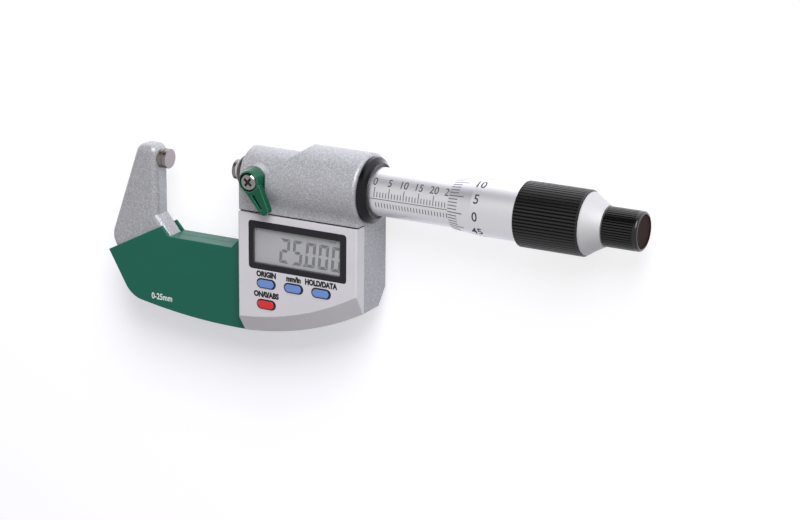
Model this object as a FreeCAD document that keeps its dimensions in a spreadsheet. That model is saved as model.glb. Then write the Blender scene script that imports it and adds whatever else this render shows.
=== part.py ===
import FreeCAD, Part
import math
import os
import re

import Sketcher
from FreeCAD import Placement, Rotation, Vector

# Digital outside micrometer, 0-25 mm, open at 25 mm. Millimetres.
# X runs along the spindle from the anvil to the knob, Y is up in the display's
# own sense, Z comes out of the display. The origin is the anvil's measuring face.

SIZES = {
    # measuring parts
    "gap": 25,
    "probe_radius": 3.2,
    "tip_length": 1.2,
    "anvil_reach": 3.0,
    "anvil_depth": 5.5,
    "running_fit": 0.03,
    # arm and bow of the frame
    "arm_half": 3.8,
    "arm_round": 2.2,
    "arm_top": 4.4,
    "arm_back_x": -10.3,
    "arm_corner": 3.2,
    "arm_front_corner": 2.6,
    "heel_x": -21.34,
    "heel_y": -27.67,
    "heel_radius": 6.2,
    "throat_low": -25.6,
    "throat_turn_y": -18.2,
    "throat_low_x": 3.1,
    "bow_left_x": -13.8,
    "bow_left_y": -41.4,
    "bow_cut_x": -11.2,
    "bow_cut_y": -44.7,
    "bow_turn_x": -7.4,
    "bow_turn_y": -45.9,
    "bow_end_y": -49.0,
    "cover_corner": 9.0,
    "bow_radius": 190,
    # block behind the display and the barrels
    "block_left": 30.95,
    "block_right": 73.4,
    "block_back": -9.2,
    "block_front": 4.5,
    "shoulder_front": 8.5,
    "shoulder_low": -10.1,
    "hollow_radius": 6,
    "bottom_left_y": -50.5,
    "bottom_right_y": -38.55,
    "bottom_radius": 98,
    "back_bevel": 4.4,
    "back_bevel_rise": 4.6,
    "nose_radius": 8.5,
    "barrel_radius": 11.4,
    "barrel_left": 42.1,
    "barrel_edge": 0.8,
    "slant_low_y": 2.5,
    "slant_top_x": 52.7,
    "rest_plane": -11.4,
    "rest_ring": 13.2,
    # spindle guide
    "bush_start": 27.6,
    "bush_nose": 5.0,
    "bush_radius": 4.5,
    "bush_end": 35.2,
    "bore_clear": 0.25,
    # encoder
    "cavity_radius": 9.2,
    "cavity_start": 58.0,
    "cavity_end": 70.5,
    "stator_thick": 1.5,
    "rotor_gap": 0.4,
    "rotor_thick": 1.2,
    "rotor_radius": 8.6,
    "rotor_bush_radius": 5.2,
    "rotor_bush_end": 66.0,
    "key_width": 0.96,
    "key_length": 3.0,
    "keyway_width": 1.02,
    "keyway_floor": 2.4,
    "keyway_left": 61.4,
    "keyway_right": 90.8,
    # sleeve and thimble
    "guide_inner": 3.6,
    "guide_outer": 6.9,
    "guide_end": 113.6,
    "nut_left": 98,
    "thread_radius": 3.4,
    "neck_left": 92,
    "neck_right": 93.5,
    "sleeve_radius": 7.48,
    "sleeve_end": 109.4,
    "zero_line": 78.2,
    "collar_radius": 10.3,
    "collar_edge": 74.9,
    "collar_face": 76.3,
    "collar_inner": 8.6,
    "thimble_lip": 7.8,
    "thimble_radius": 8.65,
    "bevel_length": 7.8,
    "thimble_bore": 7.55,
    "seal_left": 107.5,
    "seal_right": 108.8,
    "thimble_wall_x": 139.2,
    "thimble_end": 146.0,
    "spindle_end": 146.5,
    "tap_left": 140.5,
    "tap_right": 147.5,
    "grip_start": 125.4,
    "grip_radius": 9.95,
    "grip_flutes": 60,
    "flute_depth": 0.32,
    "cap_radius": 9.4,
    "cap_end": 151.8,
    "cap_small": 6.2,
    "cap_curve": 40,
    "stop_seat": 150.6,
    "stop_head": 157.2,
    "knob_start": 152.0,
    "knob_end": 163.2,
    "knob_radius": 6.0,
    "knob_flutes": 48,
    "knob_disc": 5.1,
    # spindle lock
    "lock_x": 37.7,
    "lock_y": 0.7,
    "boss_radius": 4.45,
    "boss_front": 10.0,
    "lever_radius": 4.1,
    "lever_top_radius": 3.45,
    "lever_front": 14.1,
    "lever_reach": 10.3,
    "lever_angle": -58,
    "lock_screw_radius": 2.65,
    "lock_shaft_radius": 2.5,
    # cover shells
    "cover_half": 4.8,
    "cover_seam": 0.07,
    "cover_left_x": -21.3,
    "cover_left_y": -32.0,
    "cover_peak_x": -0.7,
    "cover_peak_y": -21.3,
    "flange_x": 2.1,
    "flange_y": -24.4,
    "cover_low_x": -14.8,
    "cover_low_y": -43.3,
    "cover_turn_x": -8.0,
    "cover_turn_y": -47.5,
    "cover_end_y": -50.7,
    "ear_x": 25.2,
    "ear_y": -18.6,
    # display housing
    "case_front": 9.3,
    "case_top": -10.6,
    "case_wall": 1.2,
    "case_bevel": 4.0,
    "case_bevel_rise": 5.8,
    "window_left": 34.8,
    "window_right": 69.8,
    "window_top": -12.7,
    "window_low": -28.35,
    "window_corner": 1.1,
    "glass_left": 36.3,
    "glass_right": 67.5,
    "glass_top": -15.0,
    "glass_low": -26.5,
    "key_width_x": 6.3,
    "key_height_y": 2.55,
    "key_gap": 0.25,
    "key_row_y": -32.7,
    "key_one_x": 41.2,
    "key_pitch": 9.87,
    "power_x": 41.2,
    "power_y": -39.5,
    "key_proud": 0.45,
    # battery
    "battery_x": 52.4,
    "battery_y": -26.5,
    "battery_radius": 10.0,
    "battery_thick": 3.2,
    "battery_room": 10.3,
    "battery_top": -5.2,
    "battery_ceiling": -4.4,
    "door_seat": -7.6,
    "door_radius": 11.3,
    "door_thick": 2.8,
    "door_sunk": 0.2,
    # screws
    "screw_radius": 1.0,
    "screw_head": 1.9,
}

document = FreeCAD.newDocument("micrometer")
sheet = document.addObject("Spreadsheet::Sheet", "Sizes")
for row, (alias, value) in enumerate(SIZES.items(), start=1):
    sheet.set(f"A{row}", alias)
    sheet.set(f"B{row}", str(value))
    sheet.setAlias(f"B{row}", alias)
document.recompute()

parts = []


def bound(text):
    """Turn bare size names in an expression into references to the sheet."""
    def reference(match):
        word = match.group()
        return f"Sizes.{word}" if word in SIZES else word

    return re.sub(r"[A-Za-z_]\w*", reference, str(text))


def number(text):
    """The present value of an expression, for a sketch's first geometry."""
    value = sheet.evalExpression(bound(text))
    return float(getattr(value, "Value", value))


def new_part(label):
    """A body that is exported as one node."""
    body = document.addObject("PartDesign::Body", label)
    body.Label = label
    body.Placement = Placement()
    parts.append(body)
    return body


def plane_of(body, role):
    for feature in body.Origin.OriginFeatures:
        if feature.Role == role:
            return feature
    raise ValueError(role)


def new_sketch(body, role="XY_Plane", height="0"):
    """A sketch on one of the body's own planes, moved along its normal."""
    sketch = body.newObject("Sketcher::SketchObject", f"{body.Name}_sketch")
    sketch.AttachmentSupport = [(plane_of(body, role), "")]
    sketch.MapMode = "FlatFace"
    sketch.setExpression("AttachmentOffset.Base.z", bound(height))
    return sketch


def constrain(sketch, kind, places, expression):
    index = sketch.addConstraint(Sketcher.Constraint(kind, *places, number(expression)))
    sketch.setExpression(f"Constraints[{index}]", bound(expression))


def draw_loop(sketch, points):
    """A closed loop. A point is (x, y), or (x, y, radius, side) where an arc
    runs to the next point and bulges to the left (1) or the right (-1)."""
    first = sketch.GeometryCount
    count = len(points)
    spots = [Vector(number(p[0]), number(p[1]), 0) for p in points]
    handles = []
    for i, point in enumerate(points):
        start, end = spots[i], spots[(i + 1) % count]
        if len(point) == 2:
            index = sketch.addGeometry(Part.LineSegment(start, end), False)
            handles.append((index, 1, 2))
            continue
        radius, side = number(point[2]), point[3]
        chord = end - start
        half = chord.Length / 2
        normal = Vector(-chord.y, chord.x, 0).normalize()
        depth = math.sqrt(max(radius * radius - half * half, 0))
        centre = (start + end) * 0.5 - normal * (side * depth)
        from_centre = [math.atan2(v.y - centre.y, v.x - centre.x) for v in (start, end)]
        circle = Part.Circle(centre, Vector(0, 0, 1), radius)
        if side < 0:
            index = sketch.addGeometry(Part.ArcOfCircle(circle, *from_centre), False)
            handles.append((index, 1, 2))
        else:
            index = sketch.addGeometry(Part.ArcOfCircle(circle, *from_centre[::-1]), False)
            handles.append((index, 2, 1))
    for i, (index, _, end) in enumerate(handles):
        following, start, _ = handles[(i + 1) % count]
        sketch.addConstraint(Sketcher.Constraint("Coincident", index, end, following, start))
    for point, (index, start, _) in zip(points, handles):
        constrain(sketch, "DistanceX", (-1, 1, index, start), point[0])
        constrain(sketch, "DistanceY", (-1, 1, index, start), point[1])
        if len(point) == 4:
            constrain(sketch, "Radius", (index,), point[2])
    return first


def draw_circle(sketch, x, y, radius):
    circle = Part.Circle(Vector(number(x), number(y), 0), Vector(0, 0, 1), number(radius))
    index = sketch.addGeometry(circle, False)
    constrain(sketch, "DistanceX", (-1, 1, index, 3), x)
    constrain(sketch, "DistanceY", (-1, 1, index, 3), y)
    constrain(sketch, "Radius", (index,), radius)


def stadium(x, y, length, height):
    """The outline of a key: two straight sides and two round ends."""
    flat, half = f"(({length}) - ({height})) / 2", f"({height}) / 2"
    return [
        (f"{x} - {flat}", f"{y} - {half}"),
        (f"{x} + {flat}", f"{y} - {half}", f"{half} * 1.02", -1),
        (f"{x} + {flat}", f"{y} + {half}"),
        (f"{x} - {flat}", f"{y} + {half}", f"{half} * 1.02", -1),
    ]


def box_loop(left, low, right, top):
    return [(left, low), (right, low), (right, top), (left, top)]


def feature_of(body, kind, sketch):
    feature = body.newObject(f"PartDesign::{kind}", f"{body.Name}_{kind.lower()}")
    feature.Profile = sketch
    sketch.Visibility = False
    return feature


def pad(body, loops, low, high, role="XY_Plane"):
    """Material between two heights. A loop is a list of points or (x, y, radius)."""
    sketch = new_sketch(body, role, low)
    for loop in loops:
        draw_circle(sketch, *loop) if isinstance(loop, tuple) else draw_loop(sketch, loop)
    feature = feature_of(body, "Pad", sketch)
    feature.setExpression("Length", bound(f"({high}) - ({low})"))
    return feature


def pocket(body, loops, low, high, role="XY_Plane"):
    """Material taken away between two heights."""
    sketch = new_sketch(body, role, high)
    for loop in loops:
        draw_circle(sketch, *loop) if isinstance(loop, tuple) else draw_loop(sketch, loop)
    feature = feature_of(body, "Pocket", sketch)
    feature.setExpression("Length", bound(f"({high}) - ({low})"))
    return feature


def turn(body, points, kind="Revolution", role="XY_Plane", axis="H_Axis"):
    """A shape turned about the spindle's axis from (x, radius) points, or about
    Z from (radius, z) points on the XZ plane."""
    sketch = new_sketch(body, role)
    draw_loop(sketch, points)
    feature = feature_of(body, kind, sketch)
    feature.ReferenceAxis = (sketch, [axis])
    feature.Angle = 360
    return feature


def turned_part(label, points):
    body = new_part(label)
    turn(body, points)
    return body


def tube(left, right, inner, outer):
    return [(left, inner), (right, inner), (right, outer), (left, outer)]


def flutes(body, radius, count, left, right):
    """Straight V grooves along X, repeated round the axis."""
    cut = pocket(
        body,
        [[
            (f"{radius} - flute_depth", "0"),
            (f"{radius} + 0.4", f"-({radius} + 0.4) * 3.2 / {count}"),
            (f"{radius} + 0.4", f"({radius} + 0.4) * 3.2 / {count}"),
        ]],
        left,
        right,
        role="YZ_Plane",
    )
    pattern = body.newObject("PartDesign::PolarPattern", f"{body.Name}_pattern")
    pattern.Originals = [cut]
    pattern.Axis = (plane_of(body, "X_Axis"), [""])
    pattern.Angle = 360
    pattern.setExpression("Occurrences", bound(count))
    body.Tip = pattern
    return pattern


def edges_where(body, test):
    document.recompute()
    shape = body.Tip.Shape
    return [
        f"Edge{i}" for i, edge in enumerate(shape.Edges, start=1) if test(edge)
    ]


def soften(body, kind, names, size, other=None):
    """A fillet, or a chamfer with one or two sizes, on named edges."""
    base = body.Tip
    feature = body.newObject(f"PartDesign::{kind}", f"{body.Name}_{kind.lower()}")
    feature.Base = (base, names)
    if kind == "Fillet":
        feature.setExpression("Radius", bound(size))
    else:
        feature.setExpression("Size", bound(size))
        if other is not None:
            feature.ChamferType = "Two distances"
            feature.setExpression("Size2", bound(other))
    base.Visibility = False
    document.recompute()
    return feature


def flat_at(edge, height):
    box = edge.BoundBox
    return abs(box.ZMin - height) < 1e-4 and abs(box.ZMax - height) < 1e-4


def upright_at(edge, x, y):
    box = edge.BoundBox
    return (
        box.ZLength > 1
        and abs(box.XMin - number(x)) + abs(box.XMax - number(x)) < 1e-3
        and abs(box.YMin - number(y)) + abs(box.YMax - number(y)) < 1e-3
    )


# Outlines that several pieces share

BOW = [
    ("-anvil_reach", "throat_turn_y"),
    ("throat_low_x", "throat_low"),
    ("block_left + 1", "throat_low"),
    ("block_left + 1", "bow_end_y", "bow_radius", 1),
    ("bow_turn_x", "bow_turn_y"),
    ("bow_cut_x", "bow_cut_y"),
    ("bow_left_x", "bow_left_y"),
    ("heel_x", "heel_y"),
    ("arm_back_x", "arm_top"),
    ("-anvil_reach", "arm_top"),
]
COVER = [
    ("cover_left_x", "cover_left_y"),
    ("cover_peak_x", "cover_peak_y"),
    ("flange_x", "flange_y"),
    ("block_left", "flange_y"),
    ("block_left", "cover_end_y", "bow_radius", 1),
    ("cover_turn_x", "cover_turn_y", "cover_corner", 1),
    ("cover_low_x", "cover_low_y"),
]


def bottom(left, right, top):
    """The block's outline: straight sides and the curved lower edge."""
    return [
        (left, top),
        (right, top),
        (right, "bottom_right_y", "bottom_radius", 1),
        (left, "bottom_left_y"),
    ]


SCREWS = [
    ("block_left + 2.95", "case_top - 2.3"),
    ("block_right - 2.6", "case_top - 2.3"),
    ("block_left + 3.25", "power_y - 1.7"),
    ("block_right - 4", "key_row_y + 1.1"),
]
COVER_SCREWS = [
    ("bow_left_x + 1.3", "bow_left_y + 5.9"),
    ("flange_x + 0.9", "flange_y - 13.1"),
    ("ear_x - 0.7", "flange_y - 13.1"),
]
KEYS = {
    "origin_button": ("key_one_x", "key_row_y"),
    "unit_button": ("key_one_x + key_pitch", "key_row_y"),
    "hold_button": ("key_one_x + key_pitch * 2", "key_row_y"),
    "power_button": ("power_x", "power_y"),
}

# Frame: arm and bow, block, two barrels, lock boss and a raised ring at the back

frame = new_part("frame")
pad(frame, [BOW], "-arm_half", "arm_half")
back_corner = edges_where(frame, lambda e: upright_at(e, "arm_back_x", "arm_top"))
soften(frame, "Fillet", back_corner, "arm_corner")
front_corner = edges_where(frame, lambda e: upright_at(e, "-anvil_reach", "arm_top"))
soften(frame, "Fillet", front_corner, "arm_front_corner")
heel_edges = edges_where(frame, lambda e: upright_at(e, "heel_x", "heel_y"))
soften(frame, "Fillet", heel_edges, "heel_radius")
rim = edges_where(
    frame,
    lambda e: (flat_at(e, number("arm_half")) or flat_at(e, -number("arm_half")))
    and e.CenterOfMass.y > number("bow_left_y") and e.CenterOfMass.x < number("throat_low_x"),
)
soften(frame, "Fillet", rim, "arm_round")
pad(frame, [bottom("block_left", "block_right", "-5")], "block_back", "block_front")
low_rim = edges_where(
    frame,
    lambda e: flat_at(e, number("block_back")) and e.CenterOfMass.y < number("bottom_right_y")
)
soften(frame, "Chamfer", low_rim, "back_bevel", "back_bevel_rise")
turn(frame, [
    ("barrel_left", "0"),
    ("block_right", "0"),
    ("block_right", "barrel_radius - barrel_edge"),
    ("block_right - barrel_edge * 0.3", "barrel_radius - barrel_edge * 0.3"),
    ("block_right - barrel_edge", "barrel_radius"),
    ("barrel_left", "barrel_radius"),
])
pocket(
    frame,
    [[
        ("barrel_left", "slant_low_y"),
        (
            "slant_top_x + 2",
            "barrel_radius + (barrel_radius - slant_low_y) / (slant_top_x - barrel_left) * 2",
        ),
        ("barrel_left - 2", "barrel_radius + 6"),
        ("barrel_left - 2", "slant_low_y"),
    ]],
    "-barrel_radius - 1",
    "barrel_radius + 1",
)
turn(frame, [
    ("block_left", "0"),
    ("block_right - 6", "0"),
    ("block_right - 6", "nose_radius"),
    ("block_left + 0.6", "nose_radius"),
    ("block_left", "nose_radius - 0.6"),
])
pad(
    frame,
    [box_loop("block_left", "shoulder_low", "block_right", "0")],
    "-shoulder_front",
    "shoulder_front",
)
# the barrel runs into the flat shoulder through a hollow, without a crease
pad(
    frame,
    [[
        ("-barrel_radius * 0.544", "barrel_radius * 0.835", "hollow_radius", 1),
        ("-barrel_radius * 0.855", "shoulder_front - 0.04"),
        ("-barrel_radius * 0.855", "shoulder_front - 1.5"),
        ("-barrel_radius * 0.544", "shoulder_front - 1.5"),
    ]],
    "barrel_left",
    "block_right",
    role="YZ_Plane",
)
pocket(
    frame,
    [box_loop("block_left - 1", "-barrel_radius - 4", "block_right + 1", "shoulder_low")],
    "block_front",
    "barrel_radius + 1",
)
pad(frame, [("lock_x", "lock_y", "boss_radius")], "0", "boss_front")
pad(frame, [("battery_x", "battery_y", "rest_ring")], "rest_plane", "block_back + 1")
# bores along the axis
turn(frame, [
    ("block_left - 1", "0"),
    ("block_right + 1", "0"),
    ("block_right + 1", "cavity_radius"),
    ("cavity_start", "cavity_radius"),
    ("cavity_start", "probe_radius + bore_clear"),
    ("bush_end", "probe_radius + bore_clear"),
    ("bush_end", "bush_radius"),
    ("block_left - 1", "bush_radius"),
], "Groove")
turn(frame, [
    ("-anvil_reach - anvil_depth", "0"),
    ("-anvil_reach + 1", "0"),
    ("-anvil_reach + 1", "probe_radius - 0.4"),
    ("-anvil_reach - anvil_depth", "probe_radius - 0.4"),
], "Groove")
# lock bore, battery room, wire ways, screw holes
pocket(frame, [("lock_x", "lock_y", "lock_shaft_radius + 0.05")], "4.2", "boss_front + 1")
pocket(frame, [("lock_x", "lock_y", "1.88")], "1", "5")
pocket(frame, [("battery_x", "battery_y", "door_radius + 0.05")], "rest_plane - 1", "door_seat")
pocket(frame, [("battery_x", "battery_y", "battery_room")], "door_seat - 1", "battery_ceiling")
pocket(frame, [("battery_x", "battery_y", "1.6")], "battery_ceiling - 1", "block_front + 1")
pocket(frame, [box_loop("cavity_start + 1.5", "-13", "cavity_start + 5.5", "-7")], "-1.6", "block_front + 1")
pocket(
    frame,
    [(x, y, "screw_radius + 0.1") for x, y in SCREWS],
    "block_back - 3",
    "block_front + 1",
)
pocket(
    frame,
    [(x, y, "screw_head + 0.1") for x, y in SCREWS],
    "block_back - 3",
    "block_back + 1.8",
)
pocket(
    frame,
    [(x, y, "screw_radius + 0.1") for x, y in COVER_SCREWS],
    "-arm_half - 1",
    "arm_half + 1",
)

# Anvil and spindle

turned_part("anvil", [
    ("-anvil_reach - anvil_depth", "0"),
    ("-tip_length", "0"),
    ("-tip_length", "probe_radius - 0.12"),
    ("-tip_length - 0.25", "probe_radius - 0.12"),
    ("-tip_length - 0.25", "probe_radius"),
    ("-anvil_reach + 0.35", "probe_radius"),
    ("-anvil_reach + 0.35", "probe_radius - 0.4"),
    ("-anvil_reach - anvil_depth", "probe_radius - 0.4"),
])
turned_part("anvil_tip", [
    ("-tip_length", "0"),
    ("0", "0"),
    ("0", "probe_radius - 0.1"),
    ("-0.1", "probe_radius"),
    ("-tip_length", "probe_radius"),
])
spindle = turned_part("spindle", [
    ("gap + tip_length", "0"),
    ("spindle_end", "0"),
    ("spindle_end", "2.5"),
    ("thimble_wall_x + 3.2", "2.5"),
    ("thimble_wall_x + 3.2", "3.4"),
    ("thimble_wall_x", "4"),
    ("thimble_wall_x - 0.1", "4"),
    ("thimble_wall_x - 0.1", "thread_radius - 0.2"),
    ("thimble_wall_x - 4", "thread_radius - 0.2"),
    ("thimble_wall_x - 4", "thread_radius"),
    ("neck_right", "thread_radius"),
    ("neck_right", "probe_radius - 0.3"),
    ("neck_left", "probe_radius - 0.3"),
    ("neck_left", "probe_radius"),
    ("gap + tip_length + 0.25", "probe_radius"),
    ("gap + tip_length + 0.25", "probe_radius - 0.12"),
    ("gap + tip_length", "probe_radius - 0.12"),
])
pocket(
    spindle,
    [box_loop("keyway_left", "keyway_floor", "keyway_right", "probe_radius + 1")],
    "-keyway_width / 2",
    "keyway_width / 2",
)
turn(spindle, [
    ("tap_left", "0"),
    ("tap_right", "0"),
    ("tap_right", "1.5"),
    ("tap_left", "1.5"),
], "Groove")
turned_part("spindle_tip", [
    ("gap", "0"),
    ("gap + tip_length", "0"),
    ("gap + tip_length", "probe_radius"),
    ("gap + 0.1", "probe_radius"),
    ("gap", "probe_radius - 0.1"),
])
turned_part("spindle_bush", [
    ("bush_start", "probe_radius + 0.45"),
    ("bush_start + 1.4", "probe_radius + 0.45"),
    ("bush_start + 1.4", "probe_radius + running_fit"),
    ("bush_end", "probe_radius + running_fit"),
    ("bush_end", "bush_radius"),
    ("block_left", "bush_radius"),
    ("block_left", "bush_nose"),
    ("bush_start + 0.7", "bush_nose"),
    ("bush_start", "bush_nose - 0.5"),
])
turned_part("spindle_seal", tube(
    "bush_start + 0.1", "bush_start + 1.3", "probe_radius + 0.06", "probe_radius + 0.45"))

# Sleeve group, fixed in the barrel

turned_part("guide_sleeve", [
    ("rotor_bush_end + 0.3", "guide_inner"),
    ("nut_left", "guide_inner"),
    ("nut_left", "thread_radius + running_fit"),
    ("guide_end", "thread_radius + running_fit"),
    ("guide_end", "5.5"),
    ("sleeve_end", "5.5"),
    ("sleeve_end", "guide_outer"),
    ("block_right", "guide_outer"),
    ("block_right", "cavity_radius"),
    ("cavity_end", "cavity_radius"),
    ("cavity_end", "5"),
    ("rotor_bush_end + 0.3", "5"),
])
turned_part("adjusting_nut", tube("sleeve_end + 0.2", "guide_end - 0.5", "5.5", "7.1"))
turned_part("scale_sleeve", tube("block_right", "sleeve_end", "guide_outer", "sleeve_radius"))
turned_part("sleeve_collar", [
    ("block_right", "sleeve_radius"),
    ("collar_face - 0.5", "sleeve_radius"),
    ("collar_face - 0.1", "collar_inner"),
    ("collar_edge + 0.5", "collar_radius - 0.9"),
    ("collar_edge", "collar_radius - 0.2"),
    ("collar_edge - 0.2", "collar_radius"),
    ("block_right + 0.2", "collar_radius"),
    ("block_right", "collar_radius - 0.2"),
])

# Thimble group, which moves with the spindle

turned_part("thimble", [
    ("zero_line + gap", "thimble_bore"),
    ("seal_left", "thimble_bore"),
    ("seal_left", "thimble_bore + 0.5"),
    ("seal_right", "thimble_bore + 0.5"),
    ("seal_right", "thimble_bore"),
    ("thimble_wall_x", "thimble_bore"),
    ("thimble_wall_x", "4"),
    ("thimble_wall_x + 2.6", "3.5125"),
    ("thimble_wall_x + 2.6", "7.4"),
    ("thimble_end", "7.4"),
    ("thimble_end", "thimble_radius"),
    ("zero_line + gap + bevel_length", "thimble_radius"),
    ("zero_line + gap", "thimble_lip"),
])
turned_part("thimble_seal", tube(
    "seal_left + 0.1", "seal_right - 0.1", "sleeve_radius + 0.04", "thimble_bore + 0.45"))
grip = turned_part("thimble_grip", [
    ("grip_start", "thimble_radius"),
    ("thimble_end", "thimble_radius"),
    ("thimble_end", "grip_radius - 0.4"),
    ("thimble_end - 0.35", "grip_radius"),
    ("grip_start + 0.25", "grip_radius"),
    ("grip_start", "grip_radius - 0.25"),
])
flutes(grip, "grip_radius", "grip_flutes", "grip_start - 0.5", "thimble_end - 0.4")
turned_part("setting_cap", [
    ("thimble_wall_x + 3.4", "2.5"),
    ("stop_seat - 1", "2.5"),
    ("stop_seat - 1", "1.5"),
    ("stop_seat", "1.5"),
    ("stop_seat", "2.6"),
    ("cap_end", "2.6"),
    ("cap_end", "cap_small", "cap_curve", 1),
    ("thimble_end + 0.5", "cap_radius"),
    ("thimble_end + 0.1", "cap_radius"),
    ("thimble_end + 0.1", "7.3"),
    ("thimble_wall_x + 3.4", "7.3"),
])

# Friction stop at the end of the spindle

turned_part("stop_screw", [
    ("tap_left + 0.5", "0"),
    ("stop_head + 1.8", "0"),
    ("stop_head + 1.8", "3.7"),
    ("stop_head + 0.2", "4.2"),
    ("stop_head", "4.2"),
    ("stop_head", "2.4"),
    ("stop_seat", "2.4"),
    ("stop_seat", "1.5"),
    ("tap_left + 0.5", "1.5"),
])
knob = turned_part("stop_knob", [
    ("knob_start", "2.45"),
    ("knob_start + 1.9", "2.45"),
    ("knob_start + 1.9", "4.5"),
    ("knob_end - 1.4", "4.5"),
    ("knob_end - 1.4", "knob_disc"),
    ("knob_end - 0.15", "knob_disc"),
    ("knob_end", "knob_disc + 0.1"),
    ("knob_end", "knob_radius - 0.75", "0.8", -1),
    ("knob_end - 0.75", "knob_radius"),
    ("knob_start + 0.3", "knob_radius"),
    ("knob_start", "knob_radius - 0.3"),
])
flutes(knob, "knob_radius", "knob_flutes", "knob_start - 0.5", "knob_end - 1.4")
turned_part("stop_disc", [
    ("knob_end - 1.4", "0"),
    ("knob_end - 0.35", "0"),
    ("knob_end - 0.35", "knob_disc"),
    ("knob_end - 1.4", "knob_disc"),
])
turned_part("stop_spring", [
    ("stop_head - 3.2", "3.6"),
    ("stop_head - 3.2", "4.2"),
    ("stop_head - 0.1", "3.1"),
    ("stop_head - 0.1", "2.5"),
])

# Encoder

turned_part("encoder_stator", tube(
    "cavity_start", "cavity_start + stator_thick", "5", "cavity_radius"))
turned_part("encoder_rotor", tube(
    "cavity_start + stator_thick + rotor_gap",
    "cavity_start + stator_thick + rotor_gap + rotor_thick",
    "3.9",
    "rotor_radius",
))
rotor_bush = turned_part("rotor_bush", [
    ("cavity_start + stator_thick + rotor_gap", "probe_radius + running_fit"),
    ("rotor_bush_end", "probe_radius + running_fit"),
    ("rotor_bush_end", "rotor_bush_radius"),
    ("cavity_start + stator_thick + rotor_gap + rotor_thick", "rotor_bush_radius"),
    ("cavity_start + stator_thick + rotor_gap + rotor_thick", "3.9"),
    ("cavity_start + stator_thick + rotor_gap", "3.9"),
])
KEY_ENDS = ("cavity_start + 4", "cavity_start + 4 + key_length")
pocket(
    rotor_bush,
    [box_loop(KEY_ENDS[0], "2.5", KEY_ENDS[1], "rotor_bush_radius + 1")],
    "-key_width / 2",
    "key_width / 2",
)
rotor_key = new_part("rotor_key")
pad(
    rotor_key,
    [box_loop(KEY_ENDS[0], "keyway_floor + 0.08", KEY_ENDS[1], "rotor_bush_radius - 0.2")],
    "-key_width / 2",
    "key_width / 2",
)

# Spindle lock: modelled at its own origin, with the arm along +X, then placed


def place(body, x, y, angle="0"):
    body.setExpression("Placement.Base.x", bound(x))
    body.setExpression("Placement.Base.y", bound(y))
    body.Placement.Rotation = Rotation(Vector(0, 0, 1), number(angle))
    if angle != "0":
        body.setExpression("Placement.Rotation.Angle", bound(angle))


lever = new_part("lock_lever")
turn(lever, [
    ("0", "boss_front + 0.1"),
    ("lever_radius", "boss_front + 0.1"),
    ("lever_radius", "boss_front + 0.7"),
    ("lever_top_radius + 0.1", "lever_front - 0.35"),
    ("lever_top_radius - 0.05", "lever_front - 0.08"),
    ("lever_top_radius - 0.2", "lever_front"),
    ("0", "lever_front"),
], role="XZ_Plane", axis="V_Axis")
pad(
    lever,
    [[
        ("0", "-3.1"),
        ("lever_reach", "-1.6", "1.65", -1),
        ("lever_reach", "1.6"),
        ("0", "3.1"),
    ]],
    "barrel_radius + 0.05",
    "lever_front - 0.4",
)
# the groove between the arm's thin and wide rails
pocket(
    lever,
    [[
        ("lever_radius + 0.1", "-1.45"),
        ("lever_reach - 0.9", "-0.9"),
        ("lever_reach - 0.9", "-0.2"),
        ("lever_radius + 0.1", "-0.35"),
    ]],
    "barrel_radius + 0.9",
    "lever_front + 1",
)
pocket(lever, [("0", "0", "2")], "boss_front - 1", "lever_front + 1")
pocket(lever, [("0", "0", "lock_screw_radius + 0.4")], "lever_front - 1.5", "lever_front + 1")
place(lever, "lock_x", "lock_y", "lever_angle")

lock_shaft = new_part("lock_shaft")
pad(lock_shaft, [("0", "0", "lock_shaft_radius")], "4.3", "boss_front + 0.05")
pad(lock_shaft, [("0", "0", "2")], "boss_front", "lever_front - 1.55")
pocket(lock_shaft, [("0", "0", "1")], "7.5", "lever_front")
place(lock_shaft, "lock_x", "lock_y")

lock_screw = new_part("lock_screw")
pad(lock_screw, [("0", "0", "lock_screw_radius")], "lever_front - 1.5", "lever_front + 0.1")
pad(lock_screw, [("0", "0", "1")], "8", "lever_front - 1.4")
pocket(
    lock_screw,
    [box_loop("-1.6", "-0.42", "1.6", "0.42")],
    "lever_front - 1.1",
    "lever_front + 1",
)
pocket(
    lock_screw,
    [box_loop("-0.42", "-1.6", "0.42", "1.6")],
    "lever_front - 1.1",
    "lever_front + 1",
)
head_rim = edges_where(
    lock_screw,
    lambda e: flat_at(e, number("lever_front + 0.1")) and e.BoundBox.XLength > 4.5,
)
soften(lock_screw, "Chamfer", head_rim, "0.35")
place(lock_screw, "lock_x", "lock_y", "lever_angle + 20")

lock_pad = new_part("lock_pad")
pad(lock_pad, [("0", "0", "1.8")], "probe_radius + 0.12", "4.25")
place(lock_pad, "lock_x", "lock_y")

# Cover shells, front and back, with their screws


def cover(label, side):
    body = new_part(label)
    outer, inner = ("cover_seam", "cover_half"), ("-1", "arm_half")
    ear = ("cover_half - 1", "cover_half")
    if side < 0:
        outer, inner = ("-cover_half", "-cover_seam"), ("-arm_half", "1")
        ear = ("-cover_half", "1 - cover_half")
    pad(body, [COVER], *outer)
    edge = "cover_half" if side > 0 else "-cover_half"
    rim = edges_where(
        body,
        lambda e: flat_at(e, number(edge)) and e.CenterOfMass.x < number("block_left") - 1
    )
    soften(body, "Fillet", rim, "0.35")
    corner = ("block_left", "flange_y - 0.5")
    pad(body, [[("ear_x", "flange_y - 0.5"), corner, ("block_left", "ear_y")]], *ear)
    pocket(body, [BOW], *inner)
    return body


front_cover = cover("front_cover", 1)
pocket(
    front_cover,
    [(x, y, "screw_radius") for x, y in COVER_SCREWS],
    "arm_half - 1",
    "cover_half - 0.4",
)
rear_cover = cover("rear_cover", -1)
pocket(
    rear_cover,
    [(x, y, "screw_radius + 0.05") for x, y in COVER_SCREWS],
    "-cover_half - 1",
    "0",
)


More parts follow.
